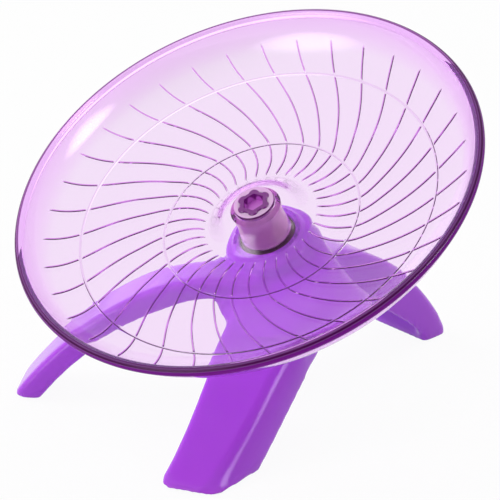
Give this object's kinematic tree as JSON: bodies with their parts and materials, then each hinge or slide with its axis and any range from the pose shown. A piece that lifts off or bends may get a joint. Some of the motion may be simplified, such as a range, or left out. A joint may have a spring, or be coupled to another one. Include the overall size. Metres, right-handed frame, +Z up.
{
  "type": "hamster exercise saucer wheel",
  "caption": "Tilted clear running dish with spiral grip ridges, spinning on a hub bearing held by a three-legged moulded stand.",
  "frame": {"origin": "on the ground, at the middle of the footprint's bounding box", "axes": "+Z up; the dish leans down towards -Y; +X is to the right of someone who looks along +Y"},
  "size_m": [0.18, 0.1892, 0.1419],
  "materials": {
    "clear_dish": "clear translucent purple, glossy",
    "hub_mauve": "glossy mauve-grey",
    "cap_magenta": "glossy dark magenta",
    "stand_purple": "glossy purple",
    "steel": "ground bearing steel",
    "shield_steel": "pressed steel",
    "clip_steel": "dark spring steel",
    "pad_rubber": "soft matt"
  },
  "bodies": {
    "stand_body": {"stand": "stand_purple", "bearing_outer_ring": "steel", "bearing_upper_shield": "shield_steel", "bearing_lower_shield": "shield_steel", "front_foot_pad": "pad_rubber", "left_foot_pad": "pad_rubber", "rear_foot_pad": "pad_rubber"},
    "dish_body": {"saucer": "clear_dish", "hub_sleeve": "hub_mauve", "hub_cap": "cap_magenta", "axle": "steel", "hub_spacer": "steel", "bearing_inner_ring": "steel", "axle_washer": "steel", "retaining_clip": "clip_steel"},
    "ball_train": {"bearing_balls": "steel", "bearing_cage_upper": "steel", "bearing_cage_lower": "steel"}
  },
  "joints": [
    {"name": "saucer_spin", "type": "hinge", "parent": "stand_body", "child": "dish_body", "pos_m": [0, 0.0006, 0.0648], "axis": [0, -0.5113, 0.8594], "continuous": true},
    {"name": "ball_train_spin", "type": "hinge", "parent": "stand_body", "child": "ball_train", "pos_m": [0, 0.0006, 0.0648], "axis": [0, -0.5113, 0.8594], "continuous": true}
  ],
  "couplings": [
    {"joint": "ball_train_spin", "follows": "saucer_spin", "ratio": 0.3677}
  ]
}
